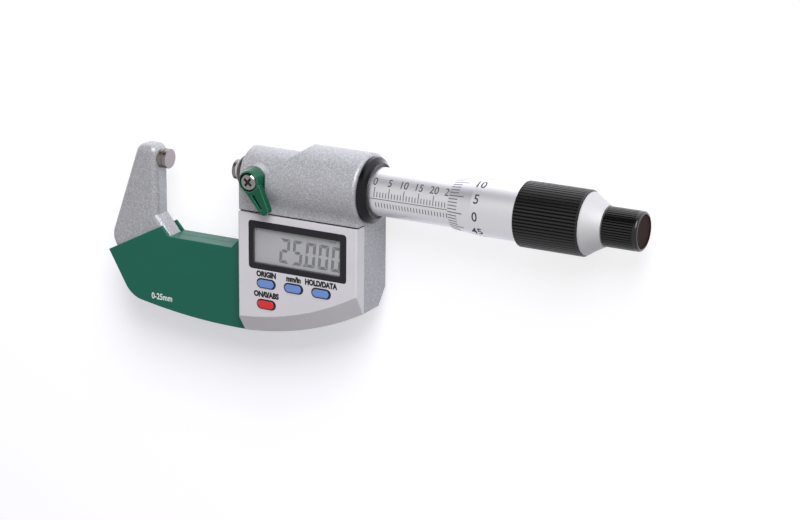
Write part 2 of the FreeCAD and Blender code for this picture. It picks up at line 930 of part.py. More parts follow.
def back_screw(label, x, y, seat, tip):
    """A screw whose pan head sits on the plane at seat, driven along +Z."""
    body = new_part(label)
    pad(body, [("0", "0", "screw_head")], f"{seat} - 1.1", seat)
    pad(body, [("0", "0", "screw_radius")], f"{seat} - 0.1", tip)
    rim = edges_where(body, lambda e: flat_at(e, number(f"{seat} - 1.1")))
    soften(body, "Chamfer", rim, "0.3")
    pocket(body, [box_loop("-1.1", "-0.25", "1.1", "0.25")], f"{seat} - 1.2", f"{seat} - 0.5")
    pocket(body, [box_loop("-0.25", "-1.1", "0.25", "1.1")], f"{seat} - 1.2", f"{seat} - 0.5")
    place(body, x, y)
    return body


for index, (x, y) in enumerate(COVER_SCREWS, start=1):
    back_screw(f"cover_screw_{index}", x, y, "-cover_half", "cover_half - 0.6")

# Display housing

housing = new_part("display_housing")
pad(housing, [bottom("block_left", "block_right", "case_top")], "block_front", "case_front")
case_low_rim = edges_where(
    housing,
    lambda e: flat_at(e, number("case_front"))
    and e.CenterOfMass.y < number("bottom_right_y") + 0.5
)
soften(housing, "Chamfer", case_low_rim, "case_bevel", "case_bevel_rise")
case_rim = edges_where(
    housing,
    lambda e: flat_at(e, number("case_front"))
    and e.BoundBox.YLength > 15 and e.BoundBox.XLength < 1
)
soften(housing, "Fillet", case_rim, "0.6")
pocket(
    housing,
    [[
        ("block_left + 1.5", "case_top - 1.5"),
        ("block_left + 1.5", "power_y - 4"),
        ("power_x + key_width_x - 1.5", "power_y - 2.8"),
        ("key_one_x + key_pitch * 2 - 1", "key_row_y - 3.7"),
        ("block_right - 1.5", "key_row_y + 1.5"),
        ("block_right - 1.5", "case_top - 1.5"),
    ]],
    "block_front - 1",
    "case_front - case_wall",
)
pad(
    housing,
    [(x, y, "1.65") for x, y in SCREWS],
    "block_front",
    "case_front - case_wall + 0.2",
)
pocket(
    housing,
    [(x, y, "screw_radius") for x, y in SCREWS],
    "block_front - 1",
    "block_front + 2.6",
)


def rounded(left, low, right, top, radius):
    return [
        (f"{left} + {radius}", low),
        (f"{right} - {radius}", low, radius, -1),
        (right, f"{low} + {radius}"),
        (right, f"{top} - {radius}", radius, -1),
        (f"{right} - {radius}", top),
        (f"{left} + {radius}", top, radius, -1),
        (left, f"{top} - {radius}"),
        (left, f"{low} + {radius}", radius, -1),
    ]


BEZEL = rounded("window_left", "window_low", "window_right", "window_top", "window_corner")
GLASS = rounded("glass_left", "glass_low", "glass_right", "glass_top", "0.3")
pocket(housing, [BEZEL], "case_front - 1.5", "case_front + 1")
pocket(
    housing,
    [stadium(x, y, "key_width_x + key_gap * 2", "key_height_y + key_gap * 2") for x, y in KEYS.values()],
    "block_front",
    "case_front + 1",
)

bezel = new_part("window_bezel")
pad(bezel, [BEZEL], "case_front - 1.5", "case_front - 0.15")
pocket(bezel, [GLASS], "case_front - 2", "case_front")
window = new_part("display_window")
pad(window, [GLASS], "case_front - 1.4", "case_front - 0.55")
panel = new_part("lcd_panel")
pad(panel, [box_loop("glass_left - 0.6", "glass_low - 0.9", "glass_right + 0.6", "glass_top + 0.9")],
    "case_front - 2.8", "case_front - 1.5")
for index, y in enumerate(("glass_top + 0.1", "glass_low - 0.8"), start=1):
    strip = new_part(f"lcd_strip_{index}")
    pad(strip, [box_loop("glass_left", y, "glass_right", f"{y} + 0.7")],
        "block_front + 1.3", "case_front - 2.8")
board = new_part("circuit_board")
pad(board, [[
    ("glass_left - 0.3", "glass_top + 2.8"),
    ("glass_left - 0.3", "power_y - 2.1"),
    ("power_x + 4.3", "power_y - 0.7"),
    ("key_one_x + key_pitch * 1.75", "key_row_y - 3.1"),
    ("key_one_x + key_pitch * 2 + 5.4", "key_row_y - 0.3"),
    ("key_one_x + key_pitch * 2 + 5.4", "glass_low - 2.3"),
    ("glass_right + 1.3", "glass_low - 2.3"),
    ("glass_right + 1.3", "glass_top + 2.8"),
]], "block_front + 0.3", "block_front + 1.3")
pad(
    board,
    [box_loop("battery_x - 3", "battery_y + 3", "battery_x + 3", "battery_y + 9")],
    "block_front + 1.2",
    "block_front + 1.9",
)
mat = new_part("key_mat")
pad(mat, [[
    ("key_one_x - 4.6", "key_row_y + 3.1"),
    ("key_one_x - 4.6", "power_y - 1.8"),
    ("power_x + 4", "power_y - 0.5"),
    ("key_one_x + key_pitch * 1.7", "key_row_y - 2.8"),
    ("key_one_x + key_pitch * 2 + 4", "key_row_y - 0.4"),
    ("key_one_x + key_pitch * 2 + 4", "key_row_y + 3.1"),
]], "block_front + 1.3", "block_front + 1.8")
pad(mat, [(x, y, "1.1") for x, y in KEYS.values()], "block_front + 1.7", "block_front + 2.1")


def button(label, x, y):
    body = new_part(label)
    pad(body, [stadium("0", "0", "key_width_x + key_gap * 2 + 1", "key_height_y + key_gap * 2 + 1")],
        "block_front + 2.8", "case_front - case_wall - 0.02")
    pad(body, [stadium("0", "0", "key_width_x", "key_height_y")],
        "block_front + 2.9", "case_front + key_proud")
    rim = edges_where(body, lambda e: flat_at(e, number("case_front + key_proud")))
    soften(body, "Fillet", rim, "0.25")
    place(body, x, y)


for label, (x, y) in KEYS.items():
    button(label, x, y)

gasket = new_part("housing_gasket")
pad(gasket, [box_loop("block_left + 0.4", "case_top", "block_right - 0.4", "shoulder_low")],
    "block_front", "shoulder_front - 0.3")

for index, (x, y) in enumerate(SCREWS, start=1):
    back_screw(f"housing_screw_{index}", x, y, "block_back + 1.8", "block_front + 2.4")

# Battery, its contacts and its screw-in door

battery = new_part("battery")
pad(battery, [("battery_x", "battery_y", "battery_radius")], "battery_top - battery_thick", "battery_top")
soften(
    battery,
    "Chamfer",
    edges_where(battery, lambda e: flat_at(e, number("battery_top"))),
    "0.3",
)
contact = new_part("battery_contact")
CONTACT = [("battery_x", "battery_y", "3"), ("battery_x", "battery_y", "1.2")]
pad(contact, CONTACT, "battery_top", "battery_ceiling")
clip = new_part("battery_clip")
CLIP_WIDE = "sqrt(battery_room^2 - (battery_radius + 0.02)^2)"
pad(clip, [[
    (f"battery_x - {CLIP_WIDE}", "battery_y + battery_radius + 0.02"),
    (f"battery_x + {CLIP_WIDE}", "battery_y + battery_radius + 0.02", "battery_room", -1),
]], "door_seat + 0.2", "battery_top")
door = new_part("battery_door")
pad(door, [("0", "0", "door_radius")], "rest_plane + door_sunk", "rest_plane + door_sunk + door_thick")
pocket(
    door,
    [box_loop("-6", "-0.8", "6", "0.8")],
    "rest_plane",
    "rest_plane + door_sunk + 1.2",
)
place(door, "battery_x", "battery_y")
seal = new_part("battery_seal")
pad(
    seal,
    [("0", "0", "door_radius"), ("0", "0", "battery_room + 0.05")],
    "rest_plane + door_sunk + door_thick",
    "door_seat",
)
place(seal, "battery_x", "battery_y")

document.recompute()

os.makedirs("parts", exist_ok=True)
broken = [f"{item.Label}: {item.State}" for item in document.Objects
          if "Invalid" in item.State or "Error" in item.State]
if broken:
    raise RuntimeError(broken)
for body in parts:
    shape = body.Shape
    if shape.isNull() or not shape.isValid() or len(shape.Solids) != 1:
        raise RuntimeError(f"{body.Label}: {len(shape.Solids)} solids, valid {shape.isValid()}")
    shape.exportStep(f"parts/{body.Label}.step")
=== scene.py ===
"""Looks, print and studio for a digital outside micrometer, 0 to 25 mm.

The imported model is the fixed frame. This script dresses its nodes, adds the marks,
numerals and display figures, and sets up the camera, the floor and the light.
"""

import logging
import math
from dataclasses import dataclass, field
from enum import Enum
from typing import Any, Callable, Iterable

import bmesh
import bpy
from mathutils import Matrix, Vector


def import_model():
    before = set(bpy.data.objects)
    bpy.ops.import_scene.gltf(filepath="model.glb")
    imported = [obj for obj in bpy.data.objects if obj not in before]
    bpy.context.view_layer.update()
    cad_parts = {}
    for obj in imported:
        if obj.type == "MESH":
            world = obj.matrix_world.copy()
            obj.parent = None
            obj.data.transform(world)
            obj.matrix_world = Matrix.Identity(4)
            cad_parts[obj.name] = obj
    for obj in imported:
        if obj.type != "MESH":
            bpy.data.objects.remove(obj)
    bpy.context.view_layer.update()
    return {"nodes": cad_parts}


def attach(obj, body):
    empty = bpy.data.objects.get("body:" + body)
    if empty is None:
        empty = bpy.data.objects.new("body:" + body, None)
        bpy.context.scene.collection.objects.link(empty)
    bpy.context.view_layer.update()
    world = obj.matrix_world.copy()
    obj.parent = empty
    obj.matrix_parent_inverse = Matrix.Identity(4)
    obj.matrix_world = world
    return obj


log = logging.getLogger("micrometer")

MM = 0.001
Point = tuple[float, float, float]
Outline = list[tuple[float, float]]
Move = Callable[[Vector], Vector]
Tree = bpy.types.NodeTree
Socket = bpy.types.NodeSocket


# Small helpers


def linear(code: str) -> tuple[float, float, float, float]:
    """Turn an sRGB hex value into a linear colour.

    Args:
        code: Six hex digits.

    Returns:
        Linear red, green, blue and an alpha of one.
    """
    parts = [int(code[i:i + 2], 16) / 255 for i in (0, 2, 4)]
    red, green, blue = (c / 12.92 if c <= 0.04045 else ((c + 0.055) / 1.055) ** 2.4 for c in parts)
    return red, green, blue, 1.0


def per_metre(size_mm: float) -> float:
    """Give a texture scale whose features are about size_mm wide."""
    return 1.0 / (size_mm * MM)


def add(tree: Tree, kind: str, inputs: dict[Any, Any] | None = None, **settings: Any) -> bpy.types.Node:
    """Add a node to a tree.

    Args:
        tree: Shader or geometry tree.
        kind: The node's type name.
        inputs: Socket name or number to a value or to another node's output.
        settings: Properties of the node.

    Returns:
        The new node.
    """
    made = tree.nodes.new(kind)
    for name, value in settings.items():
        setattr(made, name, value)
    for name, value in (inputs or {}).items():
        if isinstance(value, Socket):
            tree.links.new(value, made.inputs[name])
        else:
            made.inputs[name].default_value = value
    return made


# Finishes


@dataclass(frozen=True)
class Finish:
    """A finish in one tone with a soft variation in colour, gloss and surface.

    The defaults are those of moulded plastic: an even skin with a fine spark-eroded
    texture, which breaks the highlight up a little.
    """

    name: str
    colour: str
    roughness: float = 0.45
    metallic: float = 0.0
    specular: float = 0.5
    coat: float = 0.0
    coat_roughness: float = 0.12
    alpha: float = 1.0
    tone_mm: float = 6.0
    tone_share: float = 0.05
    gloss_share: float = 0.08
    grain_mm: float = 0.35
    grain_height_mm: float = 0.008
    round_mm: float = 0.0
    # Painted shading: a colour mixed in where the mask says, a painted highlight on edges or painted shade
    # on a key's wall.
    edge_colour: str = ""
    edge_cosine: float = 0.8

    def coords(self, tree: Tree) -> Socket:
        """Give the coordinates that the patterns are drawn in."""
        return add(tree, "ShaderNodeTexCoord").outputs["Object"]

    def tone(self, tree: Tree, at: Socket) -> Socket:
        """Give the share, 0 to 1, that mixes the darker and lighter tone."""
        look = {"Vector": at, "Scale": per_metre(self.tone_mm), "Detail": 3.0}
        return add(tree, "ShaderNodeTexNoise", look).outputs["Fac"]

    def relief(self, tree: Tree, at: Socket) -> Socket:
        """Give the height pattern for the bump."""
        look = {"Vector": at, "Scale": per_metre(self.grain_mm), "Detail": 2.0}
        return add(tree, "ShaderNodeTexNoise", look).outputs["Fac"]

    def edge_share(self, tree: Tree, normal: Socket) -> Socket:
        """Give the share, 0 to 1, of the painted shading, by how far a point lies on a rounded edge.

        Args:
            tree: The material's nodes.
            normal: The normal after rounding.

        Returns:
            The share, from how far the rounding turns the plain normal.
        """
        plain = add(tree, "ShaderNodeNewGeometry").outputs["Normal"]
        turn = add(tree, "ShaderNodeVectorMath", {0: normal, 1: plain}, operation="DOT_PRODUCT")
        span = {"Value": turn.outputs["Value"], "From Min": 1.0, "From Max": self.edge_cosine}
        return add(tree, "ShaderNodeMapRange", span).outputs["Result"]

    def shade(self, tree: Tree, tone: Socket) -> Socket:
        """Mix the darker and the lighter tone.

        Args:
            tree: The material's nodes.
            tone: The share of the lighter one.

        Returns:
            The plain colour.
        """
        base = linear(self.colour)[:3]
        darker = (*(c * (1 - self.tone_share) for c in base), 1.0)
        lighter = (*(min(1.0, c * (1 + self.tone_share)) for c in base), 1.0)
        tones = {"Factor": tone, "A": darker, "B": lighter}
        return add(tree, "ShaderNodeMix", tones, data_type="RGBA").outputs["Result"]

    def build(self) -> bpy.types.Material:
        """Make the material once and return it.

        Returns:
            The material, ready for a node's slot.
        """
        known = bpy.data.materials.get(self.name)
        if known is not None:
            return known
        material = bpy.data.materials.new(self.name)
        material.use_nodes = True
        tree = material.node_tree
        shader = tree.nodes["Principled BSDF"]
        shader.inputs["Metallic"].default_value = self.metallic
        shader.inputs["Specular IOR Level"].default_value = self.specular
        shader.inputs["Coat Weight"].default_value = self.coat
        shader.inputs["Coat Roughness"].default_value = self.coat_roughness
        shader.inputs["Alpha"].default_value = self.alpha
        at = self.coords(tree)
        tone = self.tone(tree, at)
        low, high = self.roughness * (1 - self.gloss_share), self.roughness * (1 + self.gloss_share)
        gloss = add(tree, "ShaderNodeMapRange", {"Value": tone, "To Min": low, "To Max": min(1.0, high)})
        tree.links.new(gloss.outputs["Result"], shader.inputs["Roughness"])
        colour = self.shade(tree, tone)
        if self.grain_height_mm > 0:
            grain = {"Height": self.relief(tree, at), "Distance": self.grain_height_mm * MM, "Strength": 1.0}
            bump = add(tree, "ShaderNodeBump", grain)
            if self.round_mm > 0:
                bevel = add(tree, "ShaderNodeBevel", {"Radius": self.round_mm * MM}, samples=4)
                rounded = bevel.outputs["Normal"]
                tree.links.new(rounded, bump.inputs["Normal"])
                # Painted shading: the masked points take a painted highlight or painted shade colour in
                # place of lamp light.
                if self.edge_colour:
                    share = self.edge_share(tree, rounded)
                    edges = {"Factor": share, "A": colour, "B": linear(self.edge_colour)}
                    colour = add(tree, "ShaderNodeMix", edges, data_type="RGBA").outputs["Result"]
            tree.links.new(bump.outputs["Normal"], shader.inputs["Normal"])
        tree.links.new(colour, shader.inputs["Base Color"])
        return material


@dataclass(frozen=True)
class HammeredEnamel(Finish):
    """Hammered enamel, sprayed and stoved over a casting: small shallow dimples with a
    metallic flake, which the eye reads as a fine grey mottle."""

    dimple_mm: float = 0.36
    drift_mm: float = 1.5
    bend_mm: float = 0.8
    cloud_mm: float = 0.6
    shade_span: tuple[float, float] = (0.05, 0.4)

    def dimples(self, tree: Tree, at: Socket) -> Socket:
        """Draw the dimples, bent by a little noise so that they form no grid.

        Args:
            tree: The material's nodes.
            at: The coordinates.

        Returns:
            The distance from the middle of the nearest dimple.
        """
        look = {"Vector": at, "Scale": per_metre(self.drift_mm), "Detail": 1.0}
        drift = add(tree, "ShaderNodeTexNoise", look).outputs["Color"]
        bend = {0: drift, 1: (self.bend_mm * MM,) * 3, 2: at}
        bent = add(tree, "ShaderNodeVectorMath", bend, operation="MULTIPLY_ADD").outputs["Vector"]
        cells = {"Vector": bent, "Scale": per_metre(self.dimple_mm), "Smoothness": 0.7}
        return add(tree, "ShaderNodeTexVoronoi", cells, feature="SMOOTH_F1").outputs["Distance"]

    def tone(self, tree: Tree, at: Socket) -> Socket:
        """Mix the dimples with a wider drift of tone.

        Args:
            tree: The material's nodes.
            at: The coordinates.

        Returns:
            The share, 0 to 1, of the lighter tone.
        """
        look = {"Vector": at, "Scale": per_metre(self.cloud_mm), "Detail": 4.0}
        clouds = add(tree, "ShaderNodeTexNoise", look).outputs["Fac"]
        both = add(tree, "ShaderNodeMath", {0: self.dimples(tree, at), 1: clouds}, operation="MULTIPLY")
        low, high = self.shade_span
        span = {"Value": both.outputs["Value"], "From Min": low, "From Max": high}
        return add(tree, "ShaderNodeMapRange", span).outputs["Result"]

    def relief(self, tree: Tree, at: Socket) -> Socket:
        """Use the dimples as the height."""
        return self.dimples(tree, at)


@dataclass(frozen=True)
class KeyCap(Finish):
    """A moulded key with painted shade on its side wall, so the eye reads it as standing proud."""

    top_z: float = 0.8
    wall_z: float = 0.4

    def edge_share(self, tree: Tree, normal: Socket) -> Socket:
        """Give the side wall, where the surface faces away from Z, which carries the painted shade.

        Args:
            tree: The material's nodes.
            normal: The rounded normal, which a wall doesn't need.

        Returns:
            The share, 0 on top of the key and 1 on its wall.
        """
        own = add(tree, "ShaderNodeTexCoord").outputs["Normal"]
        up = add(tree, "ShaderNodeSeparateXYZ", {"Vector": own}).outputs["Z"]
        span = {"Value": up, "From Min": self.top_z, "From Max": self.wall_z}
        return add(tree, "ShaderNodeMapRange", span).outputs["Result"]


@dataclass(frozen=True)
class TurnedMetal(Finish):
    """Ground or turned metal: fine rings round the spindle's axis, which draw the
    highlight out along the part. The rings are drawn wider than the real ones to show."""

    metallic: float = 1.0
    grain_mm: float = 0.25
    grain_height_mm: float = 0.002
    across: float = 0.03

    def coords(self, tree: Tree) -> Socket:
        """Squeeze the coordinates across the axis, so the pattern becomes rings."""
        squeeze = {"Vector": super().coords(tree), "Scale": (1.0, self.across, self.across)}
        return add(tree, "ShaderNodeMapping", squeeze).outputs["Vector"]


@dataclass(frozen=True)
class PlainMetal(Finish):
    """Plated or rolled metal without a direction, with faint clouds in its gloss."""

    metallic: float = 1.0
    grain_mm: float = 0.5
    grain_height_mm: float = 0.001


@dataclass(frozen=True)
class PrintedInk(Finish):
    """Pad-printed or filled ink: matt, dense and slightly uneven."""

    roughness: float = 0.6
    tone_mm: float = 0.5
    tone_share: float = 0.12
    grain_mm: float = 0.2
    grain_height_mm: float = 0.002


# Stoved enamel over a casting: a grey mottle with soft glints.
ENAMEL = HammeredEnamel(
    "hammered_enamel", "ABABB1", roughness=0.42, metallic=0.3, tone_share=0.27, specular=0.35,
    grain_height_mm=0.04, coat=0.05, round_mm=0.35,
)
# Moulded shells: an even satin green with a soft sheen round their edges.
COVER = Finish(
    "moulded_abs_green", "196352", roughness=0.3, specular=0.2, grain_height_mm=0.006, round_mm=0.3
)
# Polished nylon: a deep green with a sharp gloss, and a painted highlight on its rounded edges.
LEVER = Finish(
    "moulded_nylon_green", "00533A", roughness=0.12, specular=0.28, grain_height_mm=0.003,
    round_mm=0.3, edge_colour="5FA890",
)
# Moulded housing: light grey and matt, with soft edges.
HOUSING = Finish("moulded_abs_grey", "D8D5DC", roughness=0.42, grain_height_mm=0.006, round_mm=0.3)
# Window parts: a smooth dark frame, a sheet seen only by its reflections, a flat silvery panel.
BEZEL = Finish("glossy_acrylic_black", "2A292E", roughness=0.25, specular=0.12, grain_height_mm=0.002)
WINDOW = Finish("clear_acrylic", "F2F4F5", roughness=0.06, alpha=0.1, grain_height_mm=0.0)
PANEL = Finish("display_glass", "ADACB1", roughness=0.22, tone_mm=12, tone_share=0.06, grain_height_mm=0.0)
# Liquid-crystal figures are greyer than print, and scale lines are greyer than their numbers.
SEGMENT = PrintedInk("display_figure", "46474D", roughness=0.3)
# Black ink for the key words, also used as painted shade in the key gaps and the screw's recess.
INK_AND_SHADE = PrintedInk("black_ink_and_shade", "0C0B0D")
SCALE_INK = PrintedInk("grey_scale_ink", "4E4C52")
NUMBER_INK = PrintedInk("dark_scale_ink", "2C2B30")
WHITE_INK = PrintedInk("white_ink", "EDF1EE")
# Moulded keys: a clear colour on top, and painted shade on the wall round it.
KEY_BLUE = KeyCap("moulded_key_blue", "6E90D2", roughness=0.4, round_mm=0.15, edge_colour="16244A")
KEY_RED = KeyCap("moulded_key_red", "DE292F", roughness=0.4, round_mm=0.15, edge_colour="4A1014")
# Satin chrome: pale, with a long highlight.
SATIN_CHROME = TurnedMetal("satin_chrome", "D8D4E6", roughness=0.2, tone_share=0.03, grain_height_mm=0.0008)
# Blasted nickel: a broad pale sheen that mirrors nothing.
CAP_METAL = TurnedMetal(
    "bead_blasted_nickel", "C4C3C6", roughness=0.6, metallic=0.4, specular=0.2, tone_share=0.03
)
# Ground steel: a warm grey with a streak of light, a shade darker where it is hardened.
GROUND_STEEL = TurnedMetal("ground_steel", "A0968F", roughness=0.3, tone_share=0.08, grain_height_mm=0.0008)
ANVIL_STEEL = TurnedMetal("hardened_steel", "8A817B", roughness=0.3, tone_share=0.08, grain_height_mm=0.0008)
# Lapped carbide: a cooler grey than the steel that carries it.
HARD_TIP = TurnedMetal("lapped_carbide", "8D878A", roughness=0.25, tone_share=0.05)
# Blackened or dull steel: dark, so that only a thin streak shows its roundness.
DARK_STEEL = TurnedMetal("blackened_steel", "2A292C", roughness=0.22, tone_share=0.1, metallic=0.9)
DULL_STEEL = TurnedMetal("dull_steel", "5F5B59", roughness=0.35, tone_share=0.1)
# Anodised grip and moulded knob: deep black, with small lights on their flutes.
GRIP_BLACK = Finish("anodised_black", "0A0A0B", roughness=0.3, specular=0.5, grain_height_mm=0.004)
KNOB_DARK = Finish("moulded_black", "0D0B0B", roughness=0.2, specular=0.55, grain_height_mm=0.003)
# Lacquer: a dull brown that reflects next to nothing.
DISC_BROWN = Finish("lacquered_brown", "372625", roughness=0.5, specular=0.01, grain_height_mm=0.003)
# Nickel plate: bright and a little warm, or a darker mirror with clouds where it is black.
NICKEL = PlainMetal("nickel_plate", "C6C2BC", roughness=0.24, tone_share=0.08)
BLACK_NICKEL = PlainMetal("black_nickel_plate", "9C9593", roughness=0.18, tone_share=0.3, tone_mm=1.2)
# Spring steel, brass and the cell's rolled can: plain metal in its own colour, with a soft gloss.
SPRING = PlainMetal("spring_steel", "9A9CA0", roughness=0.35)
BRASS = TurnedMetal("turned_brass", "C8A85C", roughness=0.3)
CONTACT = PlainMetal("stamped_brass", "CDB06A", roughness=0.3)
CELL = PlainMetal("rolled_steel", "C9CACD", roughness=0.25)
# Rubber and silicone: black without a highlight.
RUBBER = Finish("nitrile_rubber", "161617", roughness=0.7, grain_height_mm=0.006)
SILICONE = Finish("silicone_black", "18181A", roughness=0.6, grain_height_mm=0.006)
# Solder resist: green under a clear gloss.
BOARD = Finish("solder_resist_green", "1F5A3A", roughness=0.3, coat=0.3, tone_mm=2.0)
# Moulded acetal: black with a low sheen.
DOOR = Finish("moulded_pom_black", "242527", roughness=0.4, grain_height_mm=0.008)

NODES_OF: dict[Finish, tuple[str, ...]] = {
    ENAMEL: ("frame",),
    ANVIL_STEEL: ("anvil",),
    HARD_TIP: ("anvil_tip", "spindle_tip"),
    GROUND_STEEL: ("spindle", "guide_sleeve", "rotor_key", "lock_shaft"),
    DULL_STEEL: ("spindle_bush",),
    RUBBER: ("spindle_seal", "thimble_seal", "housing_gasket", "battery_seal"),
    DARK_STEEL: ("adjusting_nut", "sleeve_collar", "stop_screw"),
    SATIN_CHROME: ("scale_sleeve", "thimble"),
    GRIP_BLACK: ("thimble_grip",),
    CAP_METAL: ("setting_cap",),
    KNOB_DARK: ("stop_knob",),
    DISC_BROWN: ("stop_disc",),
    SPRING: ("stop_spring",),
    BOARD: ("encoder_stator", "encoder_rotor", "circuit_board"),
    BRASS: ("rotor_bush", "lock_pad"),
    LEVER: ("lock_lever",),
    BLACK_NICKEL: ("lock_screw",),
    COVER: ("front_cover", "rear_cover"),
    HOUSING: ("display_housing",),
    BEZEL: ("window_bezel",),
    WINDOW: ("display_window",),
    PANEL: ("lcd_panel",),
    SILICONE: ("lcd_strip_1", "lcd_strip_2", "key_mat"),
    KEY_BLUE: ("origin_button", "unit_button", "hold_button"),
    KEY_RED: ("power_button",),
    CELL: ("battery",),
    DOOR: ("battery_door",),
    CONTACT: ("battery_contact", "battery_clip"),
}
NODE_FINISH = {node: finish for finish, nodes in NODES_OF.items() for node in nodes}


def finish_of(node: str) -> Finish:
    """Give the finish of a CAD node; one that isn't listed is a nickel-plated screw."""
    return NODE_FINISH.get(node, NICKEL)


def dress(nodes: dict[str, bpy.types.Object]) -> None:
    """Give each CAD node its finish.

    Args:
        nodes: The frame's nodes by name.
    """
    for name, item in nodes.items():
        material = finish_of(name).build()
        if not item.data.materials:
            item.data.materials.append(material)
        for index in range(len(item.data.materials)):
            item.data.materials[index] = material
        log.info("dressed %s with %s", name, material.name)


# Marks and print


# Thickness of all print, in millimetres.
INK_THICK = 0.03


def shift(x: float, y: float, z: float) -> Move:
    """Give a function that moves a point by x, y and z."""
    return lambda point: Vector((point.x + x, point.y + y, point.z + z))


@dataclass(frozen=True)
class Barrel:
    """A cylinder or cone about the spindle's axis that marks are wrapped round.

    Sizes are in millimetres. The arc position is measured at the first radius. The two
    places in X say where a cone has its radii, and a cylinder doesn't need them.
    """

    radius_a: float
    radius_b: float
    x_a: float = 0.0
    x_b: float = 100.0

    def radius(self, x: float) -> float:
        """Give the surface radius at x."""
        return self.radius_a + (self.radius_b - self.radius_a) * (x - self.x_a) / (self.x_b - self.x_a)

    def wrap(self, flat: Vector) -> Vector:
        """Move a point from the unrolled surface on to the real one.

        Args:
            flat: x along the axis, y along the arc and z above the surface.

        Returns:
            The point in space, with arc 0 towards +Z.
        """
        angle = flat.y / self.radius_a
        radius = self.radius(flat.x) + flat.z
        return Vector((flat.x, radius * math.sin(angle), radius * math.cos(angle)))

    def place(self, x: float, arc: float) -> Move:
        """Give a function that moves a flat point by x and arc and wraps it."""
        return lambda point: self.wrap(Vector((point.x + x, point.y + arc, point.z)))


class MarkTree:
    """Geometry Nodes tree for a row of bars on a barrel.

    The row is laid out flat and then wrapped. Long bars are cut along the arc about every
    arc step, in millimetres, so that they follow the surface.
    """

    FLOATS = ("Radius A", "Radius B", "X A", "X B")
    ARC_STEP = 0.5

    def __init__(self) -> None:
        """Build the tree."""
        self.tree = bpy.data.node_groups.new("wrapped_marks", "GeometryNodeTree")
        sockets: list[tuple[str, str]] = [("Count", "NodeSocketInt"), ("Arc Steps", "NodeSocketInt")]
        sockets += [(name, "NodeSocketVector") for name in ("First", "Step", "Size")]
        sockets += [(name, "NodeSocketFloat") for name in self.FLOATS]
        sockets += [("Material", "NodeSocketMaterial")]
        face = self.tree.interface
        self.keys = {
            name: face.new_socket(name=name, in_out="INPUT", socket_type=kind).identifier
            for name, kind in sockets
        }
        face.new_socket(name="Geometry", in_out="OUTPUT", socket_type="NodeSocketGeometry")
        self._fill()

    def _fill(self) -> None:
        """Add and link the nodes."""
        tree = self.tree
        given = tree.nodes.new("NodeGroupInput").outputs
        bar = add(
            tree,
            "GeometryNodeMeshCube",
            {"Size": given["Size"], "Vertices X": 2, "Vertices Y": given["Arc Steps"], "Vertices Z": 2},
        )
        row = add(
            tree,
            "GeometryNodeMeshLine",
            {"Count": given["Count"], "Start Location": given["First"], "Offset": given["Step"]},
            mode="OFFSET",
        )
        placed = add(
            tree,
            "GeometryNodeInstanceOnPoints",
            {"Points": row.outputs["Mesh"], "Instance": bar.outputs["Mesh"]},
        )
        real = add(tree, "GeometryNodeRealizeInstances", {"Geometry": placed.outputs["Instances"]})
        position = add(tree, "GeometryNodeInputPosition").outputs["Position"]
        flat = add(tree, "ShaderNodeSeparateXYZ", {"Vector": position}).outputs
        surface = add(
            tree,
            "ShaderNodeMapRange",
            {
                "Value": flat["X"],
                "From Min": given["X A"],
                "From Max": given["X B"],
                "To Min": given["Radius A"],
                "To Max": given["Radius B"],
            },
            clamp=False,
        )
        height = {0: surface.outputs["Result"], 1: flat["Z"]}
        radius = add(tree, "ShaderNodeMath", height, operation="ADD").outputs["Value"]
        turn = {0: flat["Y"], 1: given["Radius A"]}
        angle = add(tree, "ShaderNodeMath", turn, operation="DIVIDE").outputs["Value"]
        point = {"X": flat["X"]}
        for axis, wave in (("Y", "SINE"), ("Z", "COSINE")):
            share = add(tree, "ShaderNodeMath", {0: angle}, operation=wave).outputs["Value"]
            reach = add(tree, "ShaderNodeMath", {0: radius, 1: share}, operation="MULTIPLY")
            point[axis] = reach.outputs["Value"]
        wrapped = add(tree, "ShaderNodeCombineXYZ", point).outputs["Vector"]
        moved = add(
            tree, "GeometryNodeSetPosition", {"Geometry": real.outputs["Geometry"], "Position": wrapped}
        )
        inked = add(
            tree,
            "GeometryNodeSetMaterial",
            {"Geometry": moved.outputs["Geometry"], "Material": given["Material"]},
        )
        add(tree, "NodeGroupOutput", {"Geometry": inked.outputs["Geometry"]})

    def row(
        self, barrel: Barrel, count: int, first: Point, step: Point, size: Point, ink: bpy.types.Material
    ) -> bpy.types.Mesh:
        """Draw one row of bars.

        Args:
            barrel: The surface that carries them.
            count: How many bars.
            first: Middle of the first bar on the unrolled surface, in millimetres.
            step: From one bar to the next.
            size: Length along the axis, along the arc, and thickness.
            ink: Material of the bars.

        Returns:
            A plain mesh in millimetres.
        """
        holder = bpy.data.objects.new("row", bpy.data.meshes.new("row"))
        bpy.context.scene.collection.objects.link(holder)
        modifier = holder.modifiers.new("marks", "NODES")
        modifier.node_group = self.tree
        values = {
            "Count": count,
            "Arc Steps": max(2, round(size[1] / self.ARC_STEP) + 1),
            "First": first,
            "Step": step,
            "Size": size,
            "Radius A": barrel.radius_a,
            "Radius B": barrel.radius_b,
            "X A": barrel.x_a,
            "X B": barrel.x_b,
            "Material": ink,
        }
        for name, value in values.items():
            modifier[self.keys[name]] = value
        ready = holder.evaluated_get(bpy.context.evaluated_depsgraph_get())
        mesh = bpy.data.meshes.new_from_object(ready)
        bpy.data.objects.remove(holder)
        return mesh


